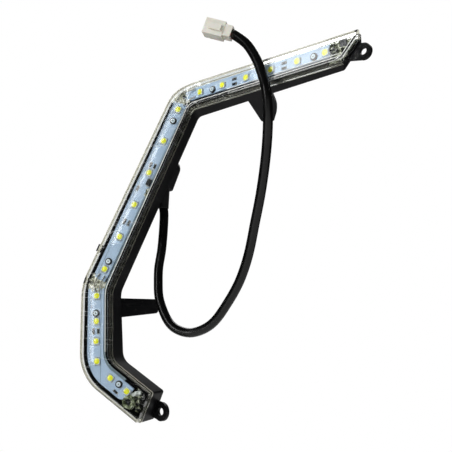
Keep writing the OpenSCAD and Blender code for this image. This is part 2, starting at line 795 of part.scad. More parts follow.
// Point halfway along each piece of a smooth curve through all the points
function halfway(p, k) = (9 * (p[k] + p[k + 1]) - p[max(k - 1, 0)] - p[min(k + 2, len(p) - 1)]) / 16;
function smooth(p) = [for (k = [0:len(p) - 1]) each k < len(p) - 1 ? [p[k], halfway(p, k)] : [p[k]]];

// Cord: from the boot down, round a hanging loop, up in front of the arm and into the connector
cord_top = [outlet[0], outlet[1], outlet_low - boot_len];
cord_gap = 0.5;
cord_crossing = let (x = upper_bend[0] + 57.5)
    [x, front_y + sweep_y(x) - (cord_d / 2 + cord_gap) / cos(sweep), upper_bend[1] - 3];
cord_shape = [
    [-2, 6, 133], [-1.5, 6, 128], [-2, 6, 115], [-3, 6, 103.5], [-4.5, 5.5, 93], [-4.5, 5, 83], [-3.5, 4, 73],
    [0, 3, 63.5], [4.5, 2, 56], [10.5, 1, 51.5], [19, 0, 49.5], [28, -2, 51.5], [36, -4, 56.5],
    [44, -7, 66], [53.5, -12, 80], [60.5, -17, 96.5], [65.5, -23, 114], [70.5, -30, 131], [74.5, -37, 148],
    [77, -43, 161.5], [78.5, -49, 171.5], [79, -53, 180.5], [78.5, -55.5, 189], [76, -54.5, 199],
    [72.5, -52.5, 209], [65.5, -48, 221.5], [56, -43, 231]];
// The shape's first point goes to the boot, its crossing point to the arm's front, and what lies between follows
shape_low = 8;
shape_crossing = 23;
cord_route = [for (k = [0:len(cord_shape) - 1])
    let (w = max(0, min(1, (k - shape_low) / (shape_crossing - shape_low))))
    cord_shape[k] + (cord_top - cord_shape[0]) * (1 - w) + (cord_crossing - cord_shape[shape_crossing]) * w];
plug_at = cord_route[len(cord_route) - 1];
plug_rise = 20;
plug_dir = [-cos(plug_rise), 0, sin(plug_rise)];
module cord() {
    color([0.04, 0.04, 0.045])
        tube(smooth(cord_route), cord_d / 2, 12, [0, 1, 0], [0, 0, -1], plug_dir);
}

// Connector: a nylon block with a collar, a latch and two terminal chambers that open at the far end
chamber = [11, 3, 3];
chamber_off = 2.2;
collar_inset = [0.4, 1.3];
collar = 5;
module at_plug() {
    translate(plug_at)
        rotate([0, 180 + plug_rise, 0])
            children();
}
module connector_housing() {
    color([0.93, 0.91, 0.84])
        at_plug()
            difference() {
                union() {
                    translate([0, -plug_t / 2 + collar_inset[0], -plug_h / 2 + collar_inset[1]])
                        cube([collar, plug_t - 2 * collar_inset[0], plug_h - 2 * collar_inset[1]]);
                    translate([collar - eps, -plug_t / 2, -plug_h / 2])
                        cube([plug_len - collar, plug_t, plug_h]);
                    translate([collar + 1.5, -plug_t / 2 - 1.6, -2])
                        cube([plug_len - collar - 5, 0.9, 4]);
                    translate([plug_len - 5, -plug_t / 2 - 1.6, -2])
                        cube([1.5, 1.7, 4]);
                }
                for (k = [-1, 1])
                    translate([plug_len - chamber[0], -chamber[1] / 2, k * chamber_off - chamber[2] / 2])
                        cube([chamber[0] + 1, chamber[1], chamber[2]]);
            }
}
module connector_terminals() {
    color([0.78, 0.68, 0.42])
        at_plug()
            for (k = [-1, 1])
                translate([plug_len - chamber[0], 0, k * chamber_off])
                    difference() {
                        union() {
                            translate([0, -chamber[1] / 2 + 0.25, -chamber[2] / 2 + 0.25])
                                cube([5, chamber[1] - 0.5, chamber[2] - 0.5]);
                            translate([4.9, -0.4, -0.9])
                                cube([chamber[0] - 7, 0.8, 1.8]);
                        }
                        translate([-1, -0.6, -0.6])
                            cube([4, 1.2, 1.2]);
                    }
}

// Rubber cap pushed over the breather tube
cap_wall = 1.4;
module breather_cap() {
    color([0.09, 0.09, 0.1])
        translate([breather_at[0], breather_back + 0.4, breather_at[1]])
            difference() {
                pin(breather_tube_r + cap_wall, breather_tube_len + 1, 64);
                translate([0, -1, 0])
                    pin(breather_tube_r + 0.02, breather_tube_len + 0.6, 64);
            }
}

rear_housing();
front_lens();
sealing_bead();
board_upper();
board_middle();
board_lower();
for (i = [1:LED_COUNT])
    led(i);
resistors_upper();
resistors_middle();
resistors_lower();
blocking_diode();
board_screws();
lens_screws();
link_wires_upper();
link_wires_lower();
supply_wire_plus();
supply_wire_minus();
cord_boot();
cord();
connector_housing();
connector_terminals();
breather_cap();
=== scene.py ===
import math
import bpy
import numpy as np
from mathutils import Matrix, Vector


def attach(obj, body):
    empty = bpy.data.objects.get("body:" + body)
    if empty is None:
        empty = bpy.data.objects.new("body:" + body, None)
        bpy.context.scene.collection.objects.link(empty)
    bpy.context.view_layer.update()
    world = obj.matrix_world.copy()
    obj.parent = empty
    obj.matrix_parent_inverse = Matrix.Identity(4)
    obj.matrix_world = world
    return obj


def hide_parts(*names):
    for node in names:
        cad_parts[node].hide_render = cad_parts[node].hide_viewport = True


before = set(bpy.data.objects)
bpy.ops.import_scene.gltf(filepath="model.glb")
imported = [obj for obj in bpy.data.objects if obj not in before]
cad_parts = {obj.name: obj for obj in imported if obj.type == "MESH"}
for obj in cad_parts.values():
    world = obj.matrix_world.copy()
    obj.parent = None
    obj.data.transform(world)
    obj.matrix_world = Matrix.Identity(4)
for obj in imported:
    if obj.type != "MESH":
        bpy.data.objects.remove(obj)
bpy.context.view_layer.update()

MM = 0.001
scene = bpy.context.scene


def new_object(name, data):
    """Object of the scene made from mesh, lamp or camera data."""
    obj = bpy.data.objects.new(name, data)
    scene.collection.objects.link(obj)
    return obj


def placed(at, x_axis, y_axis, z_axis):
    """World matrix of something at a place, with its three axes."""
    return Matrix.Translation(at) @ Matrix((x_axis, y_axis, z_axis)).transposed().to_4x4()


# ---------------------------------------------------------------- camera
PICTURE = 452
FOCAL_PIXELS = 700
SENSOR = 36
CAMERA_AT = (0.13767, -0.43951, 0.03820)
CAMERA_RIGHT = Vector((0.97742, 0.21132, 0.0))
CAMERA_UP = Vector((0.03706, -0.17141, 0.98450))
CAMERA_FORWARD = Vector((-0.20805, 0.96227, 0.17537))

camera_data = bpy.data.cameras.new("picture_camera")
camera_data.sensor_width = SENSOR
camera_data.lens = FOCAL_PIXELS / PICTURE * SENSOR
camera_data.clip_start = 0.01
camera = new_object("picture_camera", camera_data)
camera.matrix_world = placed(CAMERA_AT, CAMERA_RIGHT, CAMERA_UP, -CAMERA_FORWARD)
scene.camera = camera
scene.view_settings.view_transform = "Standard"


# ---------------------------------------------------------------- mesh helpers
def grid_faces(rows, cols):
    """Quads between neighbouring points of a rows by cols grid, whose last column is joined to its first."""
    i, j = np.meshgrid(np.arange(rows - 1), np.arange(cols), indexing="ij")
    next_j = (j + 1) % cols
    corners = [i * cols + j, i * cols + next_j, (i + 1) * cols + next_j, (i + 1) * cols + j]
    return np.stack(corners, axis=-1).reshape(-1, 4)


def closed_shell(rings):
    """Points and faces of a stack of closed rings, shut at both ends by one face.

    rings has the shape (rings, points, 3).
    """
    rows, cols = rings.shape[:2]
    faces = grid_faces(rows, cols).tolist()
    faces.append(list(range(cols))[::-1])
    faces.append([(rows - 1) * cols + k for k in range(cols)])
    return rings.reshape(-1, 3), faces


def prism(ring, low, high):
    """Closed block over a flat ring of (x, y) points, from one height to another."""
    levels = [np.concatenate([ring, np.full((len(ring), 1), z)], axis=1) for z in (low, high)]
    return closed_shell(np.stack(levels))


def copies(points, faces, origins, axes):
    """The same small shape at many places: each point is origin + x along + y across + z outwards."""
    moved = np.einsum("pk,mkd->mpd", points, axes) + origins[:, None, :]
    count = points.shape[0]
    all_faces = [[v + m * count for v in f] for m in range(len(origins)) for f in faces]
    return moved.reshape(-1, 3), all_faces


def joined(parts):
    """Several (points, faces) pairs as one."""
    points, faces, start = [], [], 0
    for p, f in parts:
        points.append(p)
        faces += [[v + start for v in face] for face in f]
        start += len(p)
    return np.concatenate(points), faces


def piece(name, shape, finish, smooth=True, body="root"):
    """Mesh object in metres from points in millimetres, riding on the body."""
    points, faces = shape
    mesh = bpy.data.meshes.new(name)
    mesh.from_pydata((np.asarray(points) * MM).tolist(), [], faces)
    mesh.materials.append(finish)
    mesh.polygons.foreach_set("use_smooth", [smooth] * len(mesh.polygons))
    mesh.update()
    obj = new_object(name, mesh)
    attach(obj, body)
    return obj


def bevel(obj, width, segments=2, angle=35):
    """Rounds the piece's edges that are sharper than the angle."""
    m = obj.modifiers.new("rounded_edges", "BEVEL")
    m.width = width * MM
    m.segments = segments
    m.limit_method = "ANGLE"
    m.angle_limit = math.radians(angle)


# ---------------------------------------------------------------- lamp line, as in the part's source, in mm
FRONT_Y = -22.0
BOARD_SET = 5.0
SWEEP = math.radians(28)
FOLD_X = 22.426
UPPER_BEND = np.array([18.426, 201.993])
LOWER_BEND = np.array([-38.574, 77.993])
KNEE = np.array([-37.574, 27.493])
FOOT_END = np.array([-4.0, 3.1])
ARM_END = np.array([130.426, 201.993])
LINE = [ARM_END, UPPER_BEND, LOWER_BEND, KNEE, FOOT_END]
ARM, MIDDLE, UPRIGHT, FOOT = range(4)


def unit(v):
    return v / np.linalg.norm(v)


def direction(i):
    """Way down stretch i in the front view."""
    return unit(LINE[i + 1] - LINE[i])


def on_line(i, along, off=0.0):
    """Point in the front view at a distance down stretch i, set off to the outer side."""
    d = direction(i)
    return LINE[i] + d * along + np.array([d[1], -d[0]]) * off


def board_place(p, stretch):
    """Origin and axes (along, across, outwards) of a place on the boards' front face."""
    x, z = p
    if stretch == ARM:
        n = np.array([-math.sin(SWEEP), -math.cos(SWEEP), 0.0])
        a = np.array([math.cos(SWEEP), -math.sin(SWEEP), 0.0])
        y = FRONT_Y - math.tan(SWEEP) * (x - FOLD_X) + BOARD_SET
    else:
        d = direction(stretch)
        n = np.array([0.0, -1.0, 0.0])
        a = np.array([d[0], 0.0, d[1]])
        y = FRONT_Y + BOARD_SET
    return np.array([x, y, z]), np.stack([a, np.cross(n, a), n])


def places(entries):
    """Origins and axes of several (point, stretch) places."""
    found = [board_place(p, s) for p, s in entries]
    return np.stack([o for o, _ in found]), np.stack([a for _, a in found])


# ---------------------------------------------------------------- strip outline, as in the part's source, in mm
HALF_WIDTH = [7.5, 8.2, 9.6, 10.0, 10.0]
ARM_SLANT, FOOT_SLANT, END_R, TIP_R = 12.5, 5.0, 1.5, 2.25
BEND_R = [13.0, 26.0, 20.0]
RIM_DEPTH = 8.5
FOLD_R = 12.0
SMALLEST_R = 0.2
ARC_STEP = 3


def meet(p, u, q, v):
    """Where the line from p along u meets the line from q along v."""
    return p + u * ((q[0] - p[0]) * v[1] - (q[1] - p[1]) * v[0]) / (u[0] * v[1] - u[1] * v[0])


def edge_corners(k):
    """Corners of one long edge, k = 1 outer and -1 inner: where the tapered stretches meet, and the slanted ends."""
    sides = [np.array([direction(i)[1], -direction(i)[0]]) for i in range(4)]
    a = [LINE[i] + sides[i] * k * HALF_WIDTH[i] for i in range(4)]
    b = [LINE[i + 1] + sides[i] * k * HALF_WIDTH[i + 1] for i in range(4)]
    d = [unit(b[i] - a[i]) for i in range(4)]
    bends = [meet(a[j - 1], d[j - 1], a[j], d[j]) for j in (1, 2, 3)]
    return [a[0] - d[0] * k * ARM_SLANT / 2, *bends, b[3] + d[3] * k * FOOT_SLANT / 2]


CORNERS = np.array(edge_corners(1) + edge_corners(-1)[::-1])
OUTER_R = [TIP_R] + [r + h for r, h in zip(BEND_R, HALF_WIDTH[1:4])] + [END_R]
INNER_R = [END_R] + [r - h for r, h in zip(BEND_R[::-1], HALF_WIDTH[3:0:-1])] + [END_R]
INWARD_SIGN = [1, 1, 1, 1, 1, 1, -1, -1, -1, 1]


def outline(inset, step=1.5):
    """Closed front-view outline moved in by inset.

    Each corner is shifted along both its normals and rounded by an arc: the start point turned about the arc's
    centre by cosines and sines. The long edges are cut into short steps that match at every inset.
    """
    n = len(CORNERS)
    to_here = np.stack([unit(CORNERS[i] - CORNERS[i - 1]) for i in range(n)])
    onward = np.roll(to_here, -1, axis=0)
    na = np.stack([-to_here[:, 1], to_here[:, 0]], axis=1)
    nb = np.stack([-onward[:, 1], onward[:, 0]], axis=1)
    q = CORNERS + (na + nb) * inset / (1 + np.sum(na * nb, axis=1))[:, None]
    radii = OUTER_R + INNER_R
    arcs = []
    for i in range(n):
        r = max(radii[i] - inset * INWARD_SIGN[i], SMALLEST_R)
        u, v = -to_here[i], onward[i]
        bend = math.pi - math.acos(float(np.dot(u, v)))
        centre = q[i] + unit(u + v) * r / math.cos(bend / 2)
        x, y = q[i] + u * r * math.tan(bend / 2) - centre
        way = -1 if u[0] * v[1] - u[1] * v[0] > 0 else 1
        t = way * bend * np.linspace(0, 1, max(2, math.ceil(math.degrees(bend) / ARC_STEP)) + 1)
        arcs.append(centre + np.stack([x * np.cos(t) - y * np.sin(t), x * np.sin(t) + y * np.cos(t)], axis=1))
    runs = []
    for i in range(n):
        start, end = arcs[i][-1], arcs[(i + 1) % n][0]
        gaps = max(1, int(np.linalg.norm(CORNERS[(i + 1) % n] - CORNERS[i]) / step))
        runs.append(start + (end - start) * np.arange(1, gaps)[:, None] / gaps)
    return np.concatenate([part for pair in zip(arcs, runs) for part in pair])


def front_sweep(x):
    """How far the front lies before the flat middle: zero, then an arc of the fold's radius, then straight."""
    start = FOLD_X - FOLD_R * math.tan(SWEEP / 2)
    inside = np.clip(x - start, 0, FOLD_R * math.sin(SWEEP))
    arc = FOLD_R - np.sqrt(FOLD_R ** 2 - inside ** 2)
    return arc + np.clip(x - start - FOLD_R * math.sin(SWEEP), 0, None) * math.tan(SWEEP)


def at_depth(p, depth):
    """Front-view points with their place behind the cover's front."""
    return np.stack([p[:, 0], FRONT_Y - front_sweep(p[:, 0]) + depth, p[:, 1]], axis=1)


# ---------------------------------------------------------------- shader helpers and shared groups
def maths(tree, operation, *values, clamp=False):
    """Result of a maths node on sockets or numbers."""
    m = tree.nodes.new("ShaderNodeMath")
    m.operation = operation
    m.use_clamp = clamp
    for socket, value in zip(m.inputs, values):
        if isinstance(value, (int, float)):
            socket.default_value = value
        else:
            tree.links.new(value, socket)
    return m.outputs[0]


def mapped(tree, value, source, target):
    """Value mapped from the source span to the target span."""
    m = tree.nodes.new("ShaderNodeMapRange")
    m.inputs["From Min"].default_value, m.inputs["From Max"].default_value = source
    m.inputs["To Min"].default_value, m.inputs["To Max"].default_value = target
    tree.links.new(value, m.inputs["Value"])
    return m.outputs["Result"]


def new_group(name, scales, outputs):
    """Node group that takes a vector and some scales; gives the group and its first and last node."""
    g = bpy.data.node_groups.new(name, "ShaderNodeTree")
    g.interface.new_socket(name="Vector", in_out="INPUT", socket_type="NodeSocketVector")
    for key, value in scales.items():
        socket = g.interface.new_socket(name=key, in_out="INPUT", socket_type="NodeSocketFloat")
        socket.default_value = value
    for key in outputs:
        g.interface.new_socket(name=key, in_out="OUTPUT", socket_type="NodeSocketFloat")
    return g, g.nodes.new("NodeGroupInput"), g.nodes.new("NodeGroupOutput")


def grain_group():
    """Moulded grain: fine noise for the height, and broad noise for slow changes of shade."""
    g, first, last = new_group("moulded_grain", {"Fine scale": 900.0, "Broad scale": 40.0}, ("Height", "Shade"))
    fine, broad = g.nodes.new("ShaderNodeTexNoise"), g.nodes.new("ShaderNodeTexNoise")
    fine.inputs["Detail"].default_value = 3
    broad.inputs["Detail"].default_value = 4
    broad.inputs["Roughness"].default_value = 0.6
    for noise, scale, result in ((fine, "Fine scale", "Height"), (broad, "Broad scale", "Shade")):
        g.links.new(first.outputs["Vector"], noise.inputs["Vector"])
        g.links.new(first.outputs[scale], noise.inputs["Scale"])
        g.links.new(noise.outputs["Fac"], last.inputs[result])
    return g


SCRATCH_LEVEL, SCRATCH_WIDTH = 0.56, 0.012
SPECK_FULL, SPECK_EDGE = 0.05, 0.12


def handling_group():
    """Handling marks: thin scratches where stretched noise passes a narrow band, and small dust specks."""
    g, first, last = new_group("handling_marks", {"Scratch scale": 60.0, "Speck scale": 500.0}, ("Scratch", "Speck"))
    turn = g.nodes.new("ShaderNodeMapping")
    turn.inputs["Rotation"].default_value = (0.4, 0.9, 0.2)
    turn.inputs["Scale"].default_value = (1.0, 0.2, 7.0)
    noise = g.nodes.new("ShaderNodeTexNoise")
    noise.inputs["Detail"].default_value = 1
    cells = g.nodes.new("ShaderNodeTexVoronoi")
    g.links.new(first.outputs["Vector"], turn.inputs["Vector"])
    g.links.new(turn.outputs["Vector"], noise.inputs["Vector"])
    g.links.new(first.outputs["Scratch scale"], noise.inputs["Scale"])
    g.links.new(first.outputs["Vector"], cells.inputs["Vector"])
    g.links.new(first.outputs["Speck scale"], cells.inputs["Scale"])
    distance = maths(g, "ABSOLUTE", maths(g, "SUBTRACT", noise.outputs["Fac"], SCRATCH_LEVEL))
    scratch = mapped(g, distance, (0.0, SCRATCH_WIDTH), (1.0, 0.0))
    speck = mapped(g, cells.outputs["Distance"], (SPECK_FULL, SPECK_EDGE), (1.0, 0.0))
    g.links.new(scratch, last.inputs["Scratch"])
    g.links.new(speck, last.inputs["Speck"])
    return g


GRAIN = grain_group()
MARKS = handling_group()


class Finish:
    """A material with one Principled shader, and short ways to add grain, marks and colour to it."""

    def __init__(self, name, colour, roughness, metallic=0.0, specular=0.5):
        self.mat = bpy.data.materials.new(name)
        self.mat.use_nodes = True
        self.tree = self.mat.node_tree
        self.tree.nodes.clear()
        self.out = self.add("ShaderNodeOutputMaterial")
        self.shader = self.add("ShaderNodeBsdfPrincipled")
        self.link(self.shader.outputs[0], self.out.inputs["Surface"])
        self.set("Base Color", (*colour, 1.0))
        self.set("Roughness", roughness)
        self.set("Metallic", metallic)
        self.set("Specular IOR Level", specular)
        self.coords = self.add("ShaderNodeTexCoord").outputs["Object"]
        self.heights = []

    def add(self, kind):
        return self.tree.nodes.new(kind)

    def link(self, a, b):
        self.tree.links.new(a, b)

    def set(self, socket, value):
        self.shader.inputs[socket].default_value = value

    def used(self, result, socket):
        """The result, linked to the shader's socket if one is named."""
        if socket:
            self.link(result, self.shader.inputs[socket])
        return result

    def group(self, tree, **values):
        """A shared group on this material's coordinates; its values are named with _ for a space."""
        g = self.add("ShaderNodeGroup")
        g.node_tree = tree
        self.link(self.coords, g.inputs["Vector"])
        for key, value in values.items():
            g.inputs[key.replace("_", " ")].default_value = value
        return g

    def ramp(self, value, stops, socket=None):
        """Colour ramp from (place, colour) stops."""
        r = self.add("ShaderNodeValToRGB")
        while len(r.color_ramp.elements) < len(stops):
            r.color_ramp.elements.new(0.5)
        for e, (at, colour) in zip(r.color_ramp.elements, stops):
            e.position = at
            e.color = (*colour, 1.0)
        self.link(value, r.inputs["Fac"])
        return self.used(r.outputs["Color"], socket)

    def span(self, value, low, high, socket=None, source=(0.0, 1.0)):
        """Value mapped from the source span to low..high."""
        return self.used(mapped(self.tree, value, source, (low, high)), socket)

    def mix(self, factor, a, b, socket=None):
        """Colour mix of two colours or sockets."""
        m = self.add("ShaderNodeMix")
        m.data_type = "RGBA"
        for key, kind, value in (("Factor", "VALUE", factor), ("A", "RGBA", a), ("B", "RGBA", b)):
            s = [i for i in m.inputs if i.name == key and i.type == kind][0]
            if isinstance(value, tuple):
                s.default_value = (*value, 1.0)
            else:
                self.link(value, s)
        return self.used([o for o in m.outputs if o.type == "RGBA"][0], socket)

    def bump(self, value, distance, strength=1.0):
        """A height in millimetres on top of the earlier ones."""
        b = self.add("ShaderNodeBump")
        b.inputs["Distance"].default_value = distance * MM
        b.inputs["Strength"].default_value = strength
        self.link(value, b.inputs["Height"])
        if self.heights:
            self.link(self.heights[-1], b.inputs["Normal"])
        self.heights.append(b.outputs["Normal"])
        self.used(b.outputs["Normal"], "Normal")


# ---------------------------------------------------------------- finishes
DUST, SCRATCHED = (0.25, 0.24, 0.22), (0.12, 0.12, 0.12)
MIDDLE_SPAN = (0.3, 0.7)


def black_plastic(name, dark, light, rough, specular, fine=1500.0, depth=0.02, marked=1.0):
    """Moulded black: broad mottling of the shade and roughness, fine grain in the height, a few marks."""
    f = Finish(name, dark, rough, specular=specular)
    grain = f.group(GRAIN, Fine_scale=fine, Broad_scale=35.0)
    marks = f.group(MARKS, Scratch_scale=35.0, Speck_scale=260.0)
    body = f.ramp(grain.outputs["Shade"], [(0.35, dark), (0.7, light)])
    dusty = f.mix(f.span(marks.outputs["Speck"], 0.0, 0.12 * marked), body, DUST)
    f.mix(f.span(marks.outputs["Scratch"], 0.0, 0.1 * marked), dusty, SCRATCHED, "Base Color")
    f.span(grain.outputs["Shade"], rough - 0.08, rough + 0.1, "Roughness", MIDDLE_SPAN)
    f.bump(grain.outputs["Height"], depth)
    return f


def metal(name, colour, tint, rough):
    """Metal with slow changes of tint and fine changes of roughness."""
    f = Finish(name, colour, rough, metallic=1.0)
    grain = f.group(GRAIN, Fine_scale=900.0, Broad_scale=300.0)
    f.ramp(grain.outputs["Shade"], [(0.35, colour), (0.7, tint)], "Base Color")
    f.span(grain.outputs["Height"], rough - 0.06, rough + 0.12, "Roughness", MIDDLE_SPAN)
    f.bump(grain.outputs["Height"], 0.01)
    return f


def plain_finish(name, dark, light):
    """One colour with slow changes of shade and a faint grain."""
    f = Finish(name, dark, 0.4)
    grain = f.group(GRAIN, Fine_scale=1200.0, Broad_scale=200.0)
    f.ramp(grain.outputs["Shade"], [(0.3, dark), (0.75, light)], "Base Color")
    f.bump(grain.outputs["Height"], 0.01)
    return f


TRAY = black_plastic("tray_moulding", (0.006, 0.006, 0.007), (0.014, 0.014, 0.015), 0.40, 0.14)
SEAL = black_plastic("sealing_rubber", (0.012, 0.012, 0.013), (0.02, 0.02, 0.02), 0.6, 0.2)
RUBBER = black_plastic("boot_rubber", (0.010, 0.010, 0.011), (0.018, 0.018, 0.018), 0.5, 0.25)
CORD = black_plastic("cord_jacket", (0.002, 0.002, 0.002), (0.004, 0.004, 0.004), 0.22, 0.45,
                     fine=700.0, depth=0.004, marked=0.0)
TIN = metal("tinned_copper", (0.62, 0.6, 0.56), (0.78, 0.76, 0.7), 0.28)
ZINC = metal("zinc_plated_screw", (0.40, 0.45, 0.49), (0.56, 0.61, 0.65), 0.42)
# Dark plated metal for the lens screws and the arm end's patch; also painted shade on the board screws' rims.
DARK_STEEL_AND_RIM_SHADE = metal("dark_plated_screw_and_painted_rim_shade", (0.04, 0.04, 0.045), (0.08, 0.08, 0.085), 0.35)
BRASS = metal("terminal_brass", (0.66, 0.5, 0.24), (0.8, 0.66, 0.36), 0.25)
RED_WIRE = plain_finish("red_insulation", (0.4, 0.02, 0.015), (0.55, 0.04, 0.03))
BLACK_WIRE = plain_finish("black_insulation", (0.012, 0.012, 0.012), (0.03, 0.03, 0.03))
# Painted highlight: pale blue-grey crown of the board screws, for the bright reflection in the middle of each head.
CROWN_HIGHLIGHT = plain_finish("screw_face_painted_highlight", (0.60, 0.72, 0.80), (0.82, 0.90, 0.94))
# Painted highlight: near-white for thin bars that stand in for light caught by the clear cover's edges.
EDGE_HIGHLIGHT_WHITE = plain_finish("painted_edge_highlight", (0.90, 0.90, 0.87), (0.96, 0.96, 0.94))
# Near-black ceramic of the chips; also painted shade in the screws' cross recesses.
CHIP_BLACK_AND_RECESS_SHADE = plain_finish("chip_ceramic_and_painted_recess_shade", (0.008, 0.009, 0.010), (0.02, 0.022, 0.025))
FRAME_WHITE = plain_finish("diode_frame", (0.66, 0.72, 0.73), (0.76, 0.82, 0.82))
CREAM = plain_finish("cream_sealant", (0.80, 0.77, 0.64), (0.90, 0.88, 0.78))
# Painted shade: slate grey-blue for the shaded strip beside the board's inner edge.
SHADE_SLATE = plain_finish("painted_shade_slate", (0.16, 0.22, 0.25), (0.22, 0.29, 0.33))

MASK_DARK, MASK_LIGHT = (0.39, 0.52, 0.70), (0.47, 0.60, 0.78)
MASK_GROOVE, MASK_DUST = (0.10, 0.17, 0.24), (0.35, 0.38, 0.40)
GROOVE_SIDES, GROOVE_SLOPE = (3.0, 3.6), 0.1
GROOVE_SHADE = {ARM: 0.1, MIDDLE: 0.5, UPRIGHT: 0.5}


def board_finish(name, stretch):
    """Solder mask: pale blue-white with a fine dark groove along each side.

    The coordinates are moved and turned so that X runs down the stretch and Z across it. The groove is where
    the distance from the line has passed its first side and not yet its second.
    """
    f = Finish(name, (0.62, 0.74, 0.88), 0.3, specular=0.4)
    d = direction(stretch)
    start = UPPER_BEND if stretch == ARM else LINE[stretch]
    place = f.add("ShaderNodeMapping")
    place.vector_type = "TEXTURE"
    place.inputs["Location"].default_value = (start[0] * MM, FRONT_Y * MM, start[1] * MM)
    if stretch == ARM:
        place.inputs["Rotation"].default_value = (0.0, 0.0, -SWEEP)
    else:
        place.inputs["Rotation"].default_value = (0.0, math.atan2(-d[1], d[0]), 0.0)
    f.link(f.coords, place.inputs["Vector"])
    f.coords = place.outputs["Vector"]
    grain = f.group(GRAIN, Fine_scale=1400.0, Broad_scale=60.0)
    marks = f.group(MARKS, Scratch_scale=45.0, Speck_scale=420.0)
    split = f.add("ShaderNodeSeparateXYZ")
    f.link(f.coords, split.inputs[0])
    across = maths(f.tree, "ABSOLUTE", split.outputs["Z"])
    passed = [f.span(across, 0.0, 1.0, source=(side * MM, (side + GROOVE_SLOPE) * MM)) for side in GROOVE_SIDES]
    groove = maths(f.tree, "SUBTRACT", *passed)
    body = f.ramp(grain.outputs["Shade"], [(0.3, MASK_DARK), (0.7, MASK_LIGHT)])
    lined = f.mix(f.span(groove, 0.0, GROOVE_SHADE[stretch]), body, MASK_GROOVE)
    f.mix(f.span(marks.outputs["Speck"], 0.0, 0.3), lined, MASK_DUST, "Base Color")
    f.bump(groove, -0.03)
    f.bump(grain.outputs["Height"], 0.008)
    return f


BOARDS = {
    "board_upper": board_finish("board_upper_mask", ARM),
    "board_middle": board_finish("board_middle_mask", MIDDLE),
    "board_lower": board_finish("board_lower_mask", UPRIGHT),
}


def phosphor_finish():
    """Phosphor under clear resin: strong yellow, darker and paler by broad noise, with a thin gloss."""
    f = Finish("phosphor", (0.8, 0.85, 0.1), 0.18)
    grain = f.group(GRAIN, Fine_scale=2500.0, Broad_scale=380.0)
    stops = [(0.25, (0.80, 0.82, 0.01)), (0.5, (0.93, 0.94, 0.03)), (0.75, (0.95, 0.95, 0.12))]
    f.ramp(grain.outputs["Shade"], stops, "Base Color")
    f.set("Coat Weight", 0.3)
    f.set("Coat Roughness", 0.06)
    f.bump(grain.outputs["Height"], 0.02)
    return f


PHOSPHOR = phosphor_finish()


def clear_finish():
    """Clear moulded plastic: glass with soft smears and a few scratches in its roughness.

    Shadow rays pass it through a plain transparent shader, so that the lamps light what lies behind it.
    """
    f = Finish("clear_cover", (0.96, 0.975, 0.965), 0.03)
    f.set("Transmission Weight", 1.0)
    f.set("IOR", 1.5)
    grain = f.group(GRAIN, Fine_scale=160.0, Broad_scale=25.0)
    marks = f.group(MARKS, Scratch_scale=22.0, Speck_scale=240.0)
    smear = f.span(grain.outputs["Shade"], 0.01, 0.07, source=(0.4, 0.7))
    scratch = f.span(marks.outputs["Scratch"], 0.0, 0.3)
    f.used(maths(f.tree, "MAXIMUM", smear, scratch), "Roughness")
    f.bump(grain.outputs["Height"], 0.02, 0.15)
    let_through = f.add("ShaderNodeBsdfTransparent")
    let_through.inputs["Color"].default_value = (0.94, 0.95, 0.94, 1.0)
    choose = f.add("ShaderNodeMixShader")
    f.link(f.add("ShaderNodeLightPath").outputs["Is Shadow Ray"], choose.inputs["Fac"])
    f.link(f.shader.outputs[0], choose.inputs[1])
    f.link(let_through.outputs[0], choose.inputs[2])
    f.link(choose.outputs[0], f.out.inputs["Surface"])
    return f


CLEAR = clear_finish()


def nylon_finish():
    """Natural nylon: warm off-white that light enters a little."""
    f = Finish("natural_nylon", (0.83, 0.80, 0.70), 0.36)
    f.set("Subsurface Weight", 0.15)
    f.set("Subsurface Scale", 0.003)
    grain = f.group(GRAIN, Fine_scale=800.0, Broad_scale=120.0)
    f.ramp(grain.outputs["Shade"], [(0.3, (0.88, 0.84, 0.73)), (0.7, (0.95, 0.93, 0.85))], "Base Color")
    f.bump(grain.outputs["Height"], 0.015)
    return f


NYLON = nylon_finish()


def glue_and_glint_finish(name, stops, rough):
    """Set glue seen through the cover, and a painted highlight at the foot: patches from dark olive to cream by broad
    noise, glossy and lumpy.
    """
    f = Finish(name, stops[-1][1], rough)
    grain = f.group(GRAIN, Fine_scale=900.0, Broad_scale=420.0)
    f.ramp(grain.outputs["Shade"], stops, "Base Color")
    f.bump(grain.outputs["Height"], 0.10)
    f.bump(grain.outputs["Shade"], 0.4)
    return f


PALE_GLUE = glue_and_glint_finish("pale_glue", [
    (0.36, (0.05, 0.055, 0.035)), (0.42, (0.40, 0.40, 0.28)),
    (0.49, (0.74, 0.73, 0.60)), (0.60, (0.94, 0.93, 0.84))], 0.18)
OLIVE_GLUE = glue_and_glint_finish("olive_glue", [
    (0.42, (0.01, 0.014, 0.012)), (0.49, (0.10, 0.11, 0.07)),
    (0.55, (0.30, 0.31, 0.22)), (0.62, (0.88, 0.88, 0.78))], 0.12)
DARK_GLUE = glue_and_glint_finish("dark_glue", [
    (0.49, (0.002, 0.003, 0.002)), (0.54, (0.03, 0.034, 0.02)),
    (0.58, (0.24, 0.26, 0.15)), (0.64, (0.85, 0.86, 0.72))], 0.08)
# Painted highlight: near-white patches for the lump at the foot's end.
FOOT_HIGHLIGHT_WHITE = glue_and_glint_finish("foot_painted_highlight_white", [
    (0.40, (0.35, 0.38, 0.34)), (0.50, (0.66, 0.69, 0.66)),
    (0.62, (0.90, 0.92, 0.90)), (0.72, (0.96, 0.97, 0.96))], 0.10)
BOSS_GLUE = glue_and_glint_finish("boss_glue", [
    (0.40, (0.05, 0.06, 0.035)), (0.48, (0.20, 0.23, 0.13)),
    (0.56, (0.38, 0.42, 0.28)), (0.66, (0.80, 0.82, 0.66))], 0.10)

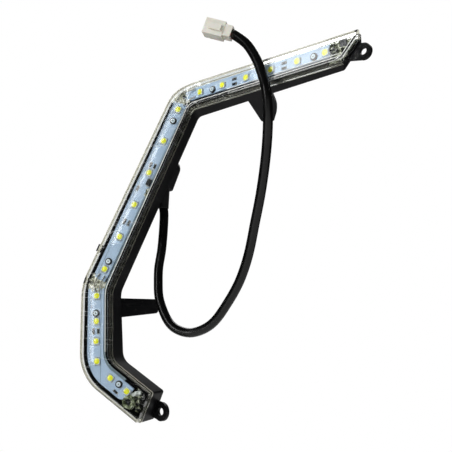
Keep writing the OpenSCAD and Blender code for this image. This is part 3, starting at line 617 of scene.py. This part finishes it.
NODE_FINISHES = {
    "rear_housing": TRAY, "front_lens": CLEAR, "sealing_bead": SEAL,
    "resistors_upper": CHIP_BLACK_AND_RECESS_SHADE, "resistors_middle": CHIP_BLACK_AND_RECESS_SHADE, "resistors_lower": CHIP_BLACK_AND_RECESS_SHADE, "blocking_diode": CHIP_BLACK_AND_RECESS_SHADE,
    "board_screws": ZINC, "lens_screws": DARK_STEEL_AND_RIM_SHADE, "link_wires_upper": TIN, "link_wires_lower": TIN,
    "supply_wire_plus": RED_WIRE, "supply_wire_minus": BLACK_WIRE, "cord_boot": RUBBER,
    "connector_housing": NYLON, "connector_terminals": BRASS, "breather_cap": RUBBER, **BOARDS,
}
for node, finish in NODE_FINISHES.items():
    for material_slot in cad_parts[node].material_slots:
        material_slot.material = finish.mat


# ---------------------------------------------------------------- sealant, lip, painted edge highlights and painted shade strip
def bar_along(start, end, insets, depths):
    """Closed bar that follows the outline between two of its points, or to its last point.

    Its four long edges are the outlines at both insets and both depths, cut to that run, and its ends are shut.
    """
    (outer, inner), (near, far) = insets, depths
    loops = [at_depth(outline(inset), depth)[start:end]
             for inset, depth in ((outer, far), (inner, far), (inner, near), (outer, near))]
    return closed_shell(np.stack(loops, axis=1))


def nearest_place(p):
    """Number of the outline's point that lies nearest to a place in the front view."""
    return int(np.argmin(np.linalg.norm(outline(0.0) - p, axis=1)))


ARM_TIP, UPPER_OUT, FOOT_OUT, KNEE_IN, UPPER_IN, ARM_LOW = (nearest_place(CORNERS[i]) for i in (0, 1, 4, 6, 8, 9))
BEND_CLEAR = 9
TIP_CLEAR = 3
BOND_DEPTHS = (RIM_DEPTH - 0.08, RIM_DEPTH - 0.01)
bond = piece("bond_line", joined([
    bar_along(ARM_TIP + TIP_CLEAR, FOOT_OUT, (0.04, 2.16), BOND_DEPTHS),
    bar_along(FOOT_OUT, ARM_LOW, (0.04, 0.5), BOND_DEPTHS)]), CREAM.mat)

LIP_INSETS, LIP_FRONT = (2.25, 2.8), 3.6
lip = piece("inner_lip", bar_along(UPPER_OUT + BEND_CLEAR, UPPER_IN - BEND_CLEAR, LIP_INSETS, (LIP_FRONT, RIM_DEPTH)),
            TRAY.mat, smooth=False)

ARM_LINES_X = 52.0
ARM_LINES_FROM = nearest_place(np.array([ARM_LINES_X, UPPER_BEND[1] - HALF_WIDTH[1]]))
# Painted highlights: thin near-white bars along the cover's inner front edge and along the arm, where its edges catch
# the light.
glints = piece("painted_edge_highlights", joined([
    bar_along(KNEE_IN + BEND_CLEAR, None, (2.15, 2.6), (1.55, 1.85)),
    bar_along(ARM_LINES_FROM, None, (0.85, 1.2), (1.5, 1.7)),
    bar_along(ARM_LINES_FROM, ARM_LOW - 3, (3.8, 4.15), (1.55, 1.75))]), EDGE_HIGHLIGHT_WHITE.mat, smooth=False)

# Painted shade: a thin slate strip just behind the board's inner edge, standing in for the shaded gap beside it.
SHADE_STRIP_INSETS, SHADE_STRIP_DEPTHS = (2.85, 5.0), (BOARD_SET + 0.35, BOARD_SET + 0.7)
SHADE_STRIP_FROM, SHADE_STRIP_TO = KNEE_IN - 18, nearest_place(on_line(MIDDLE, 28, -9))
shade_strip = piece("painted_shade_strip", bar_along(SHADE_STRIP_FROM, SHADE_STRIP_TO, SHADE_STRIP_INSETS, SHADE_STRIP_DEPTHS), SHADE_SLATE.mat, smooth=False)

# ---------------------------------------------------------------- cord
CORD_D = 6.0
CORD_SIDES = 32
CORD_ROUTE = np.array([
    [-1.98, 6, 133], [-1.48, 6, 128], [-1.98, 6, 115], [-2.98, 6, 103.5], [-4.48, 5.5, 93], [-4.48, 5, 83],
    [-3.48, 4, 73], [0.02, 3, 63.5], [4.52, 2, 56], [10.52, 1, 51.5], [19.01, 0, 49.5], [28, -1.98, 51.5],
    [36, -3.98, 56.5], [43.99, -6.97, 66], [53.48, -11.96, 80], [60.48, -16.96, 96.5], [65.47, -22.95, 114],
    [70.46, -29.95, 131], [74.46, -36.94, 148], [76.95, -42.93, 161.5], [78.45, -48.93, 171.5],
    [78.94, -52.92, 180.5], [78.43, -55.42, 189], [75.93, -54.41, 199], [72.43, -52.41, 209],
    [65.43, -47.91, 221.5], [55.93, -42.91, 231]])
CORD_FIRST_WAY = (0, 0, -1)
CORD_LAST_WAY = (-math.cos(math.radians(20)), 0, math.sin(math.radians(20)))


def smoothed(p):
    """Each gap gets the point halfway along a smooth curve: (9(b + c) - a - d) / 16 of its four neighbours."""
    a = np.concatenate([p[:1], p[:-2]])
    d = np.concatenate([p[2:], p[-1:]])
    half = (9 * (p[:-1] + p[1:]) - a - d) / 16
    out = np.empty((2 * len(p) - 1, 3))
    out[0::2], out[1::2] = p, half
    return out


def tube_rings(path, radius, sides, across, first, last):
    """Rings of a round tube.

    Each is the path's point + radius times the cosine and the sine of the turn on two directions square to the way.
    """
    step = np.diff(path, axis=0)
    step /= np.linalg.norm(step, axis=1)[:, None]
    way = np.concatenate([[first], step[:-1] + step[1:], [last]])
    way /= np.linalg.norm(way, axis=1)[:, None]
    a = np.cross(way, across)
    a /= np.linalg.norm(a, axis=1)[:, None]
    b = np.cross(way, a)
    t = np.linspace(0, 2 * np.pi, sides, endpoint=False)[None, :, None]
    return path[:, None, :] + radius * (np.cos(t) * a[:, None, :] + np.sin(t) * b[:, None, :])


cord_path = smoothed(smoothed(CORD_ROUTE))
cord_rings = tube_rings(cord_path, CORD_D / 2, CORD_SIDES, (0, 1, 0), CORD_FIRST_WAY, CORD_LAST_WAY)
cord = piece("cord_tube", closed_shell(cord_rings), CORD.mat)
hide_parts("cord")

# ---------------------------------------------------------------- places on the boards, as in the part's source
ARM_FIRST_X, ARM_PITCH = UPPER_BEND[0] + 12.5, 16.7
ARM_ROW_Z = 202.793
MIDDLE_FIRST, MIDDLE_PITCH = 9.2, 22.855
UPRIGHT_LEDS = ((5.2, -0.4), (21.4, -0.4), (33.9, -0.4), (46.4, -1.1))
FOOT_LEDS, FOOT_LED_OFF = (11.87, 25.48), -1.1
FOOT_SCREW = FOOT_LEDS[0] + 6.8
CHIP_OFF = 1.6
SINGLE_CHIP = 2.53


def on_arm(pitches, height):
    """Place on the arm, so many pitches after its first diode."""
    return (ARM_FIRST_X + ARM_PITCH * pitches, height), ARM


def on_middle(pitches, off=0.0, further=0.0):
    """Place on the middle, so many pitches after its first diode and a little further."""
    return on_line(MIDDLE, MIDDLE_FIRST + MIDDLE_PITCH * pitches + further, off), MIDDLE


LED_PLACES = [on_arm(k, ARM_ROW_Z) for k in range(6)] \
    + [on_middle(k, 0.1) for k in range(6)] \
    + [(on_line(UPRIGHT, along, off), UPRIGHT) for along, off in UPRIGHT_LEDS] \
    + [(on_line(FOOT, along, FOOT_LED_OFF), FOOT) for along in FOOT_LEDS]
CHIP_PLACES = [on_arm(pitches, ARM_ROW_Z + k * CHIP_OFF) for pitches in (1.5, 3.5) for k in (-1, 1)] \
    + [on_middle(pitches, k * CHIP_OFF) for pitches in (1.78, 3.55) for k in (-1, 1)] \
    + [on_middle(SINGLE_CHIP, 3.0)] \
    + [(on_line(UPRIGHT, UPRIGHT_LEDS[1][0] + 6.25, k * CHIP_OFF), UPRIGHT) for k in (-1, 1)] \
    + [(on_line(FOOT, FOOT_SCREW + 1.0, 3.6), FOOT)]
BLOCKING_DIODE_PLACES = [(on_line(MIDDLE, 60.85, -2.55), MIDDLE)]
SCREW_PLACES = [
    on_arm(0.56, UPPER_BEND[1]), on_arm(4.6, UPPER_BEND[1] + 0.4), on_middle(0.36), on_middle(5, further=-5.5),
    (on_line(UPRIGHT, UPRIGHT_LEDS[1][0] - 5.1), UPRIGHT), (on_line(FOOT, FOOT_SCREW, -1.4), FOOT)]
LED_NODES = [f"led_{i}" for i in range(1, 19)]
led_at = places(LED_PLACES)
screw_at = places(SCREW_PLACES)

# ---------------------------------------------------------------- diodes
# Levels from the board upwards: half side, power of the squircle, height.
FRAME_LEVELS = [(2.1, 9, 0.0), (2.1, 9, 0.62), (2.0, 9, 0.86), (1.95, 8, 0.9), (1.86, 2, 0.9), (1.78, 2, 0.72)]
FACE_LEVELS = [(1.8, 2, 0.70), (1.84, 2, 0.88), (1.74, 2, 0.98), (1.45, 2, 1.07), (0.95, 2, 1.125),
               (0.4, 2, 1.145), (0.05, 2, 1.15)]


def squircle(half, power, count):
    """Outline |x|^n + |y|^n = 1 of half side half, from a circle at n = 2 towards a square as n grows."""
    t = np.linspace(0, 2 * np.pi, count, endpoint=False) + np.pi / 4
    c, s = np.cos(t), np.sin(t)
    r = (np.abs(c) ** power + np.abs(s) ** power) ** (-1 / power)
    return half * r[:, None] * np.stack([c, s], axis=1)


def stacked(levels, count=32):
    """Squircles at heights, one ring for each (half side, power, height)."""
    rings = [np.concatenate([squircle(h, p, count), np.full((count, 1), z)], axis=1) for h, p, z in levels]
    return closed_shell(np.stack(rings))


frames = piece("diode_frames", copies(*stacked(FRAME_LEVELS), *led_at), FRAME_WHITE.mat)
faces = piece("diode_faces", copies(*stacked(FACE_LEVELS), *led_at), PHOSPHOR.mat)
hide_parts(*LED_NODES)

# ---------------------------------------------------------------- solder at the diodes and the small parts
FILLET_TOE = 0.05
LEAD_ROWS, LEAD_HALF = (-1.3, 0.0, 1.3), 0.35


def fillet_shape(x0, x1, half, height, middle=0.0):
    """Solder fillet: a box whose top falls to the board from its inner side x0 to its outer side x1."""
    y0, y1 = middle - half, middle + half
    base = [[x0, y0, 0], [x1, y0, 0], [x1, y1, 0], [x0, y1, 0]]
    top = [[x0, y0, height], [x1, y0, FILLET_TOE], [x1, y1, FILLET_TOE], [x0, y1, height]]
    f = [[0, 3, 2, 1], [4, 5, 6, 7], [0, 1, 5, 4], [1, 2, 6, 5], [2, 3, 7, 6], [3, 0, 4, 7]]
    if x1 < x0:
        f = [face[::-1] for face in f]
    return np.array(base + top), f


leads = joined([fillet_shape(s * 2.08, s * 2.75, LEAD_HALF, 0.5, row) for s in (-1, 1) for row in LEAD_ROWS])
solder = piece("diode_leads", copies(*leads, *led_at), TIN.mat, smooth=False)
bevel(solder, 0.06)

chip_ends = joined([fillet_shape(s * 1.42, s * 2.0, 0.72, 0.55) for s in (-1, 1)])
diode_ends = joined([fillet_shape(s * 2.1, s * 2.95, 0.95, 0.9) for s in (-1, 1)])
chip_solder = piece("chip_solder", joined([
    copies(*chip_ends, *places(CHIP_PLACES)),
    copies(*diode_ends, *places(BLOCKING_DIODE_PLACES))]), TIN.mat, smooth=False)
bevel(chip_solder, 0.08)

# ---------------------------------------------------------------- board screws
# Profiles of (radius, height) pairs over the board.
RIM_PROFILE = [(1.25, -4.0), (1.25, 0.0), (2.28, 0.0), (2.28, 0.6), (2.05, 1.0), (1.45, 1.12), (1.4, 1.0)]
CROWN_PROFILE = [(1.42, 0.9), (1.42, 1.12), (1.2, 1.2), (0.7, 1.23), (0.02, 1.24)]


def turned(profile, count=40):
    """A profile of (radius, height) pairs turned once round the height axis, shut at both ends."""
    t = np.linspace(0, 2 * np.pi, count, endpoint=False)
    r, h = np.array(profile).T
    heights = np.broadcast_to(h[:, None], (len(r), count))
    return closed_shell(np.stack([r[:, None] * np.cos(t), r[:, None] * np.sin(t), heights], axis=2))


def cross_shape(reach, half, low, high):
    """Cross plate, painted shade of a cross recess: twelve corner points of a plus sign at two heights."""
    a, b = reach, half
    ring = [[a, -b], [a, b], [b, b], [b, a], [-b, a], [-b, b], [-a, b], [-a, -b], [-b, -b], [-b, -a], [b, -a], [b, -b]]
    return prism(np.array(ring), low, high)


# Painted shade and highlight: each head is split into a dark rim and a pale crown, standing for the dark reflection
# round its edge and the bright one in its middle.
rims = piece("screw_rims_painted_shade", copies(*turned(RIM_PROFILE), *screw_at), DARK_STEEL_AND_RIM_SHADE.mat)
crowns = piece("screw_crowns_painted_highlight", copies(*turned(CROWN_PROFILE), *screw_at), CROWN_HIGHLIGHT.mat)
# Painted shade: a raised near-black plus sign on each crown, standing in for the dark cross recess.
recess_shades = piece("screw_recess_shades", copies(*cross_shape(0.6, 0.16, 0.9, 1.26), *screw_at), CHIP_BLACK_AND_RECESS_SHADE.mat, smooth=False)
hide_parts("board_screws")

# ---------------------------------------------------------------- glue at the bends and ends, and a painted highlight at the foot
LUMP_INSET = 2.4
LUMP_RINGS, LUMP_SIDES, LUMP_POWER = 14, 56, 3.5


def held_inside(points, middle):
    """Points kept inside the cover's wall.

    One past the moved-in outline comes back to it along the line to the middle, at its own depth: the line's
    crossings with the outline's short edges give how far it may reach.
    """
    depth = points[:, 1] - FRONT_Y + front_sweep(points[:, 0])
    wall = outline(LUMP_INSET)
    edge = np.roll(wall, -1, axis=0) - wall
    to_wall = wall - middle
    way = points[:, [0, 2]] - middle
    across = way[:, :1] * edge[:, 1] - way[:, 1:] * edge[:, 0]
    with np.errstate(divide="ignore", invalid="ignore"):
        reach = (to_wall[:, 0] * edge[:, 1] - to_wall[:, 1] * edge[:, 0]) / across
        share = (to_wall[:, 0] * way[:, 1:] - to_wall[:, 1] * way[:, :1]) / across
    first = np.min(np.where((reach > 0) & (share >= 0) & (share <= 1), reach, np.inf), axis=1)
    return at_depth(middle + way * np.minimum(first, 1.0)[:, None], depth)


def lumpy_dome(place, stretch, tilt, size, height, depth, seed):
    """Closed lumpy dome, sunk by depth.

    Its squircle rings have a radius that falls with the cosine and a height that grows with the root of the sine,
    both waved by sums of sines; tilt is in degrees.
    """
    t = np.linspace(0, np.pi / 2, LUMP_RINGS)[:, None]
    o = np.linspace(0, 2 * np.pi, LUMP_SIDES, endpoint=False)[None, :]
    edge = (np.abs(np.cos(o)) ** LUMP_POWER + np.abs(np.sin(o)) ** LUMP_POWER) ** (-1 / LUMP_POWER)
    edge = edge * (1 + 0.05 * np.sin(5 * o + seed) + 0.04 * np.sin(9 * o + 2 * seed))
    r = np.maximum(np.cos(t), 0.01)
    x, y = size[0] * r * edge * np.cos(o), size[1] * r * edge * np.sin(o)
    waves = 0.5 * np.sin(1.3 * x + seed) * np.cos(1.1 * y - seed) \
        + 0.3 * np.sin(2.3 * x - 1.7 * y + seed) + 0.2 * np.cos(3.1 * y + 2.0 * x)
    z = height * np.sin(t) ** 0.5 * (1 + 0.45 * waves)
    c, s = math.cos(math.radians(tilt)), math.sin(math.radians(tilt))
    xy = np.stack([x, y], axis=-1) @ np.array([[c, s], [-s, c]])
    points, faces = closed_shell(np.concatenate([xy, (z - depth)[..., None]], axis=-1))
    origin, axes = board_place(place, stretch)
    return held_inside(origin + points @ axes, place), faces


# Lumps of each piece: place, stretch, tilt, size, height, depth, seed.
LUMP_PIECES = (
    ("bend_glue", PALE_GLUE, (
        (UPPER_BEND + (-1.7, -1.8), MIDDLE, 32, (2.9, 6.4), 1.7, 1.5, 0.4),
        (LOWER_BEND + (-1.9, 2.6), MIDDLE, -12, (5.6, 8.2), 1.7, 1.5, 1.9))),
    ("end_glue", OLIVE_GLUE, (
        (ARM_END + (-7.8, 0.8), ARM, 14, (9.4, 7.4), 1.8, 2.2, 2.7),
        (on_middle(SINGLE_CHIP, -4.3, 0.3)[0], MIDDLE, 0, (3.0, 1.6), 0.8, 0.5, 0.8))),
    ("foot_glue", DARK_GLUE, (
        (on_line(FOOT, 34.0, -0.6), FOOT, 0, (5.4, 7.6), 1.2, 2.8, 3.6),)),
    # Painted highlight: a near-white lump at the foot's end, standing in for the bright curved light on the clear cover
    # there.
    ("foot_painted_highlight", FOOT_HIGHLIGHT_WHITE, (
        (np.array([-10.6, 12.0]), FOOT, 50, (3.6, 1.4), 1.2, 1.6, 1.1),)),
)
for name, finish, lumps in LUMP_PIECES:
    piece(name, joined([lumpy_dome(*lump) for lump in lumps]), finish.mat)

# ---------------------------------------------------------------- foot's boss, arm end's patch, short board ends
BOSS_AT = places([(on_line(FOOT, 30.3, 3.4), FOOT)])
BOSS_PROFILE = [(4.2, -2.6), (4.2, 0.1), (3.8, 0.9), (3.0, 1.3), (2.2, 0.9), (1.8, -0.6), (0.02, -0.7)]
BOSS_HOLE_PROFILE = [(1.75, -0.72), (1.75, -0.2), (0.02, -0.15)]
boss = piece("foot_boss", copies(*turned(BOSS_PROFILE), *BOSS_AT), BOSS_GLUE.mat)
boss_hole = piece("foot_boss_hole", copies(*turned(BOSS_HOLE_PROFILE), *BOSS_AT), CHIP_BLACK_AND_RECESS_SHADE.mat)

PATCH_AT = places([((124.6, 205.3), ARM)])
PATCH_RING = 1.9 * np.array([[-1, -1], [1, -1], [1, 1], [-1, 1]])
patch = piece("arm_end_patch", copies(*prism(PATCH_RING, -1.0, 0.1), *PATCH_AT), DARK_STEEL_AND_RIM_SHADE.mat, smooth=False)

TONGUE_STATIONS = 9
TONGUE_NEAR, TONGUE_FAR = BOARD_SET + 0.02, BOARD_SET + 1.58


def tongue(p, q, half):
    """Closed strip of board between two places of the front view, as thick as a board and bent along with the front."""
    stations = p + (q - p) * np.linspace(0, 1, TONGUE_STATIONS)[:, None]
    side = unit(q - p)[::-1] * (1, -1) * half
    edges = ((1, TONGUE_FAR), (-1, TONGUE_FAR), (-1, TONGUE_NEAR), (1, TONGUE_NEAR))
    return closed_shell(np.stack([at_depth(stations + k * side, depth) for k, depth in edges], axis=1))


TONGUE_Z = 202.9
arm_tongue = piece("arm_board_tongue", tongue(np.array([27.5, TONGUE_Z]), np.array([19.6, TONGUE_Z]), 3.4),
                   BOARDS["board_upper"].mat, smooth=False)
mid_tongue = piece("middle_board_tongue", tongue(on_line(MIDDLE, 126.0, 0.4), on_line(MIDDLE, 131.0, 0.4), 3.8),
                   BOARDS["board_middle"].mat, smooth=False)

# ---------------------------------------------------------------- stage
FLOOR_Z = -0.15
FLOOR_CORNERS = [(-0.8, -0.9, FLOOR_Z), (0.9, -0.9, FLOOR_Z), (0.9, 0.6, FLOOR_Z), (-0.8, 0.6, FLOOR_Z)]
floor_mesh = bpy.data.meshes.new("studio_floor")
floor_mesh.from_pydata(FLOOR_CORNERS, [], [(0, 1, 2, 3)])
floor = new_object("studio_floor", floor_mesh)
floor_finish = Finish("studio_paper", (0.86, 0.86, 0.85), 0.8)
paper = floor_finish.group(GRAIN, Fine_scale=300.0, Broad_scale=4.0)
floor_finish.ramp(paper.outputs["Shade"], [(0.3, (0.84, 0.84, 0.83)), (0.7, (0.88, 0.88, 0.87))], "Base Color")
floor_mesh.materials.append(floor_finish.mat)


# ---------------------------------------------------------------- lamps
def area_lamp(name, width, length, power):
    data = bpy.data.lights.new(name, "AREA")
    data.shape = "RECTANGLE"
    data.size, data.size_y = width, length
    data.energy = power
    return new_object(name, data)


def soft_lamp(name, at, aim, size, power, mirrored=True):
    """Wide lamp; one that is not mirrored lights the pieces but gives no bright patch on them."""
    lamp = area_lamp(name, *size, power)
    lamp.location = at
    lamp.rotation_euler = (Vector(aim) - Vector(at)).to_track_quat("-Z", "Y").to_euler()
    lamp.visible_glossy = mirrored


def tube_lamp(name, start, end, aim, width, power):
    """Narrow lamp between two points, turned to face the aim."""
    a, b = Vector(start), Vector(end)
    middle = (a + b) / 2
    along = (b - a).normalized()
    back = middle - Vector(aim)
    back = (back - along * back.dot(along)).normalized()
    lamp = area_lamp(name, width, (b - a).length, power)
    lamp.matrix_world = placed(middle, along.cross(back), along, back)


LAMP_AIM = (0.02, -0.02, 0.1)
soft_lamp("key_softbox", (-0.45, -0.65, 0.55), LAMP_AIM, (0.3, 0.3), 2.8, mirrored=False)
soft_lamp("fill_softbox", (0.65, -0.45, 0.25), LAMP_AIM, (0.4, 0.4), 0.3, mirrored=False)
tube_lamp("middle_tube", (-0.168, -0.65, 0.438), (-0.275, -0.65, 0.205), (0.0, -0.02, 0.14), 0.005, 0.024)
tube_lamp("upright_tube", (-0.306, -0.65, 0.140), (-0.304, -0.65, 0.020), (0.0, -0.02, 0.06), 0.005, 0.010)
tube_lamp("arm_strip", (-0.356, -0.348, 0.463), (-0.440, -0.270, 0.443), (0.08, -0.05, 0.2), 0.09, 0.10)
tube_lamp("cord_strip", (-0.37, -0.60, 0.36), (-0.37, -0.60, 0.0), (0.03, 0.0, 0.15), 0.06, 0.6)
soft_lamp("back_strip", (0.0, 0.5, 0.6), LAMP_AIM, (0.7, 0.3), 2.8)

# ---------------------------------------------------------------- world
# White where the camera sees it, straight or through clear plastic; elsewhere ambient light, dark in reflections.
AMBIENT, DARK_ROOM = 0.3, 0.02
world = bpy.data.worlds.new("studio_world")
scene.world = world
world.use_nodes = True
sky = world.node_tree
sky.nodes.clear()
ray = sky.nodes.new("ShaderNodeLightPath").outputs
seen = maths(sky, "MAXIMUM", ray["Is Camera Ray"], ray["Is Transmission Ray"], clamp=True)
for bounces in ("Diffuse Depth", "Glossy Depth"):
    seen = maths(sky, "SUBTRACT", seen, ray[bounces], clamp=True)
dimmed = maths(sky, "MULTIPLY", ray["Is Glossy Ray"], AMBIENT - DARK_ROOM, clamp=True)
ambient, white = sky.nodes.new("ShaderNodeBackground"), sky.nodes.new("ShaderNodeBackground")
ambient.inputs["Color"].default_value = white.inputs["Color"].default_value = (1, 1, 1, 1)
white.inputs["Strength"].default_value = 1.0
pick = sky.nodes.new("ShaderNodeMixShader")
world_out = sky.nodes.new("ShaderNodeOutputWorld")
sky.links.new(maths(sky, "SUBTRACT", AMBIENT, dimmed, clamp=True), ambient.inputs["Strength"])
sky.links.new(seen, pick.inputs["Fac"])
sky.links.new(ambient.outputs[0], pick.inputs[1])
sky.links.new(white.outputs[0], pick.inputs[2])
sky.links.new(pick.outputs[0], world_out.inputs["Surface"])
